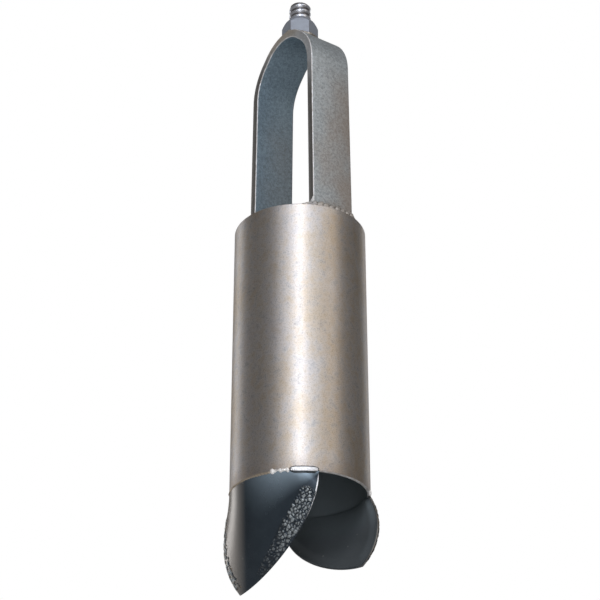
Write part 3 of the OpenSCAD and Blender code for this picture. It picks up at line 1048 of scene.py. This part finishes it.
# Name, turn from the camera's side and lift in degrees, width, height and distance in metres, power, tint
LIGHTS = (
    ("key", 0, 20, 0.38, 2.0, 1.6, 12.6, (0.95, 0.965, 1.0)),
    ("key_left", -25, 28, 0.4, 1.3, 1.6, 1.9, (0.98, 0.98, 1.0)),
    ("key_right", 27, 28, 0.45, 1.3, 1.6, 2.7, (0.93, 0.96, 1.0)),
    ("fill_right", 53, 28, 0.5, 1.3, 1.6, 2.5, (1.0, 0.90, 0.78)),
    ("rim_left", -128, 5, 0.45, 2.2, 1.6, 4.6, WHITE),
    ("rim_right", 148, 20, 0.3, 1.3, 1.6, 1.2, WHITE),
    ("low_fill", 10, -32, 0.9, 0.7, 1.4, 3.0, WHITE),
)


def add_light(name, turn, lift, width, height, distance, power, tint):
    """A soft rectangular light that looks at the middle of the tube."""
    stage = bpy.context.scene.auger_stage
    target = UP * 0.5 * (TUBE_TOP + TUBE_BOTTOM)
    around = stage.camera_turn - pi / 2 + radians(turn)
    up = radians(lift)
    direction = radial(around) * cos(up) + UP * sin(up)
    data = bpy.data.lights.new(name, "AREA")
    data.shape = "RECTANGLE"
    data.size = width
    data.size_y = height
    data.energy = power
    data.color = tint
    light = placed(name, data)
    light.location = target + direction * distance
    light.rotation_euler = (-direction).to_track_quat("-Z", "Y").to_euler()


def build_floor():
    """A wide pale floor well below the auger, bright to the camera and dim to the auger."""
    stage = bpy.context.scene.auger_stage
    bm = bmesh.new()
    bmesh.ops.create_circle(bm, cap_ends=True, segments=64, radius=3.0)
    bmesh.ops.translate(bm, vec=(0, 0, TUBE_BOTTOM - stage.floor_below), verts=bm.verts)
    matt = Finish("pale_floor", metallic=0.0)
    matt.plug(matt.shader.inputs["Emission Strength"], 0.6)
    matt.plug(matt.shader.inputs["Emission Color"], matt.by_sight((0.18, 0.18, 0.18), colours().floor))
    mesh_object("floor", bm, [matt.finished(colours().floor, 0.8)])


def build_surround():
    """A surround that is white to the camera and dim to the auger."""
    world = bpy.data.worlds.new("white_surround")
    bpy.context.scene.world = world
    world.use_nodes = True
    surround = Nodes(world.node_tree)
    background = surround.tree.nodes["Background"]
    surround.plug(background.inputs["Color"], surround.by_sight((0.17, 0.163, 0.153), WHITE))


def build_camera():
    """The camera, below the tube and looking up at it."""
    scene = bpy.context.scene
    stage = scene.auger_stage
    data = bpy.data.cameras.new("camera")
    data.lens = stage.lens
    data.sensor_width = 36
    camera = placed("camera", data)
    out = radial(stage.camera_turn - pi / 2)
    camera.location = out * stage.camera_out + UP * (TUBE_BOTTOM - stage.camera_below)
    camera.rotation_euler = (pi / 2 + stage.camera_pitch, 0, stage.camera_turn)
    scene.camera = camera


def build_stage():
    """Floor, lights, surround and camera."""
    build_floor()
    for light in LIGHTS:
        add_light(*light)
    build_surround()
    build_camera()
    bpy.context.scene.view_settings.view_transform = "Standard"


# ---- Operators and panel ----

class AUGER_OT_tube(bpy.types.Operator):
    """Build the bucket tube"""

    bl_idname = "auger.tube"
    bl_label = "Bucket tube"

    def execute(self, context):
        build_tube()
        return {"FINISHED"}


class AUGER_OT_bail(bpy.types.Operator):
    """Build the flat-bar bail"""

    bl_idname = "auger.bail"
    bl_label = "Bail"

    def execute(self, context):
        build_bail()
        return {"FINISHED"}


class AUGER_OT_stud(bpy.types.Operator):
    """Build the hexagon, its cone and the threaded stud, with the weld at its foot"""

    bl_idname = "auger.stud"
    bl_label = "Hexagon and stud"

    def execute(self, context):
        build_stud()
        build_stud_weld()
        return {"FINISHED"}


class AUGER_OT_bits(bpy.types.Operator):
    """Build the two cutting bits"""

    bl_idname = "auger.bits"
    bl_label = "Cutting bits"

    def execute(self, context):
        build_bits()
        return {"FINISHED"}


class AUGER_OT_facings(bpy.types.Operator):
    """Build the hard facing on the bits' edges"""

    bl_idname = "auger.facings"
    bl_label = "Hard facing"

    def execute(self, context):
        build_facings()
        return {"FINISHED"}


class AUGER_OT_welds(bpy.types.Operator):
    """Build the weld beads on the tube's two rims"""

    bl_idname = "auger.welds"
    bl_label = "Rim welds"

    def execute(self, context):
        build_bit_welds()
        build_bail_welds()
        return {"FINISHED"}


class AUGER_OT_stage(bpy.types.Operator):
    """Build the floor, the lights and the camera"""

    bl_idname = "auger.stage"
    bl_label = "Stage"

    def execute(self, context):
        build_stage()
        return {"FINISHED"}


class AUGER_PT_panel(bpy.types.Panel):
    """Lists the auger's pieces and sizes in the sidebar"""

    bl_label = "Soil auger"
    bl_idname = "AUGER_PT_panel"
    bl_space_type = "VIEW_3D"
    bl_region_type = "UI"
    bl_category = "Auger"

    def draw(self, context):
        for step in STEPS:
            self.layout.operator(step.bl_idname)
        for key, group in GROUPS.items():
            box = self.layout.box()
            for name in group.__annotations__:
                box.prop(getattr(context.scene, key), name)


GROUPS = {"auger_sizes": AugerSizes, "auger_colours": AugerColours, "auger_stage": AugerStage}
STEPS = (AUGER_OT_tube, AUGER_OT_bail, AUGER_OT_stud, AUGER_OT_bits, AUGER_OT_facings, AUGER_OT_welds,
         AUGER_OT_stage)
CLASSES = (*GROUPS.values(), *STEPS, AUGER_PT_panel)


def register():
    for item in CLASSES:
        bpy.utils.register_class(item)
    for key, group in GROUPS.items():
        setattr(bpy.types.Scene, key, PointerProperty(type=group))


def unregister():
    for key in GROUPS:
        delattr(bpy.types.Scene, key)
    for item in reversed(CLASSES):
        bpy.utils.unregister_class(item)


def main():
    """Registers the add-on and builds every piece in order."""
    register()
    bpy.ops.auger.tube()
    bpy.ops.auger.bail()
    bpy.ops.auger.stud()
    bpy.ops.auger.bits()
    bpy.ops.auger.facings()
    bpy.ops.auger.welds()
    bpy.ops.auger.stage()


if __name__ == "__main__":
    main()
